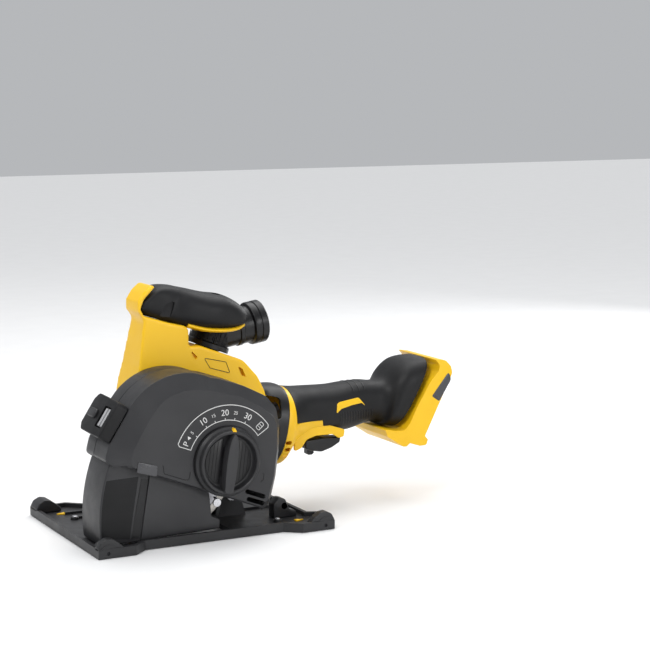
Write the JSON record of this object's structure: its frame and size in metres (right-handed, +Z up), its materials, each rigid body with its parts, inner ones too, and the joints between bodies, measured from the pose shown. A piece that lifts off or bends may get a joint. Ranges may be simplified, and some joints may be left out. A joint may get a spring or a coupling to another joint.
{
  "type": "cordless wall chaser",
  "caption": "Cordless wall chaser: rolling shoe, plunging twin-disc guard with a swing-open cover and depth dial, dust elbow, fore grip and rear handle.",
  "frame": {"origin": "centre of the shoe, on its underside", "axes": "+X towards the rear handle, +Y to the motor side, away from the depth dial, +Z up"},
  "size_m": [0.4308, 0.199, 0.246],
  "materials": {
    "shoe_plastic": "moulded, fine texture",
    "guard_plastic": "moulded, satin",
    "yellow_plastic": "moulded, satin",
    "soft_rubber": "soft-touch overmould",
    "black_plastic": "moulded",
    "grey_plastic": "moulded",
    "cast_aluminium": "die cast",
    "bright_steel": "turned",
    "disc_steel": "ground",
    "laminations": "stacked",
    "board": "coated board"
  },
  "bodies": {
    "shoe": {"shoe": "shoe_plastic", "lower_guard": "guard_plastic", "axle_front_near": "bright_steel", "axle_front_far": "bright_steel", "axle_rear_near": "bright_steel", "axle_rear_far": "bright_steel", "pivot_pin": "bright_steel", "return_spring": "bright_steel", "depth_stop": "bright_steel"},
    "roller_front_near": {"roller_front_near": "black_plastic"},
    "roller_front_far": {"roller_front_far": "black_plastic"},
    "roller_rear_near": {"roller_rear_near": "black_plastic"},
    "roller_rear_far": {"roller_rear_far": "black_plastic"},
    "spindle": {"spindle": "bright_steel", "crown_gear": "bright_steel", "disc_near": "disc_steel", "disc_far": "disc_steel", "disc_spacer": "bright_steel", "inner_flange": "bright_steel", "clamp_nut": "bright_steel"},
    "rotor": {"rotor_shaft": "bright_steel", "pinion": "bright_steel", "rotor_core": "laminations", "fan": "black_plastic"},
    "cover": {"guard_cover": "guard_plastic", "latch_catch": "grey_plastic"},
    "dial": {"dial_knob": "black_plastic", "depth_cam": "bright_steel"},
    "latch": {"latch_lever": "guard_plastic"},
    "paddle": {"paddle": "black_plastic", "lock_off_pin": "bright_steel"},
    "lock_off": {"lock_off_lever": "black_plastic"},
    "lock_button": {"lock_button": "black_plastic"},
    "elbow": {"dust_elbow": "black_plastic"},
    "machine": {"battery_foot": "yellow_plastic", "battery_terminals": "black_plastic", "cap_screw_1": "bright_steel", "cap_screw_2": "bright_steel", "cap_screw_3": "bright_steel", "cap_screw_4": "bright_steel", "control_board": "board", "cover_hinge_pin": "bright_steel", "dust_spigot": "black_plastic", "fore_grip": "soft_rubber", "fore_grip_screw": "bright_steel", "front_bearing": "bright_steel", "front_housing": "yellow_plastic", "gear_case": "cast_aluminium", "gear_case_cap": "cast_aluminium", "guard_back": "guard_plastic", "handle_left": "soft_rubber", "handle_right": "soft_rubber", "latch_pin": "bright_steel", "lower_bearing": "bright_steel", "motor_housing": "yellow_plastic", "paddle_pin": "bright_steel", "rear_bearing": "bright_steel", "stator": "laminations", "switch_module": "black_plastic", "upper_bearing": "bright_steel"}
  },
  "joints": [
    {"name": "plunge", "type": "hinge", "parent": "shoe", "child": "machine", "pos_m": [0.048, 0, 0.026], "axis": [0, -1, 0], "range_deg": [0, 25.5], "stiffness_Nm_per_rad": 3, "springref_deg": -40.11},
    {"name": "spindle_spin", "type": "hinge", "parent": "machine", "child": "spindle", "pos_m": [-0.036, -0.04, 0.07], "axis": [0, 1, 0], "continuous": true},
    {"name": "rotor_spin", "type": "hinge", "parent": "machine", "child": "rotor", "pos_m": [-0.036, 0.012, 0.07], "axis": [0.989, 0, 0.1478], "continuous": true},
    {"name": "cover_swing", "type": "hinge", "parent": "machine", "child": "cover", "pos_m": [0.0755, -0.049, 0.082], "axis": [0.073, 0, 0.9973], "range_deg": [0, 100]},
    {"name": "dial_turn", "type": "hinge", "parent": "cover", "child": "dial", "pos_m": [0.012, -0.087, 0.078], "axis": [0, -1, 0], "range_deg": [-49, 77]},
    {"name": "latch_open", "type": "hinge", "parent": "machine", "child": "latch", "pos_m": [-0.10035, -0.031, 0.12464], "axis": [-0.5446, 0, -0.8387], "range_deg": [0, 70]},
    {"name": "lock_button_press", "type": "slide", "parent": "machine", "child": "lock_button", "axis": [0, -1, 0], "range_m": [0, 0.0025], "stiffness_N_per_m": 800, "springref_m": -0.002},
    {"name": "paddle_pull", "type": "hinge", "parent": "machine", "child": "paddle", "pos_m": [0.17, 0.012, 0.066], "axis": [0, 1, 0], "range_deg": [0, 4.5], "stiffness_Nm_per_rad": 1.2, "springref_deg": -8.59},
    {"name": "lock_off_tilt", "type": "hinge", "parent": "paddle", "child": "lock_off", "pos_m": [0.153, 0.012, 0.0625], "axis": [0, 1, 0], "range_deg": [0, 22], "stiffness_Nm_per_rad": 0.02, "springref_deg": -11.46},
    {"name": "elbow_swivel", "type": "hinge", "parent": "machine", "child": "elbow", "pos_m": [0.036, 0.012, 0.1742], "axis": [0.3584, 0, 0.9336], "range_deg": [-5, 75]},
    {"name": "roller_front_near_spin", "type": "hinge", "parent": "shoe", "child": "roller_front_near", "pos_m": [-0.115, -0.088, 0.0045], "axis": [0, 1, 0], "continuous": true},
    {"name": "roller_front_far_spin", "type": "hinge", "parent": "shoe", "child": "roller_front_far", "pos_m": [-0.115, 0.088, 0.0045], "axis": [0, 1, 0], "continuous": true},
    {"name": "roller_rear_near_spin", "type": "hinge", "parent": "shoe", "child": "roller_rear_near", "pos_m": [0.115, -0.088, 0.0045], "axis": [0, 1, 0], "continuous": true},
    {"name": "roller_rear_far_spin", "type": "hinge", "parent": "shoe", "child": "roller_rear_far", "pos_m": [0.115, 0.088, 0.0045], "axis": [0, 1, 0], "continuous": true}
  ],
  "couplings": [
    {"joint": "rotor_spin", "follows": "spindle_spin", "ratio": 3}
  ]
}
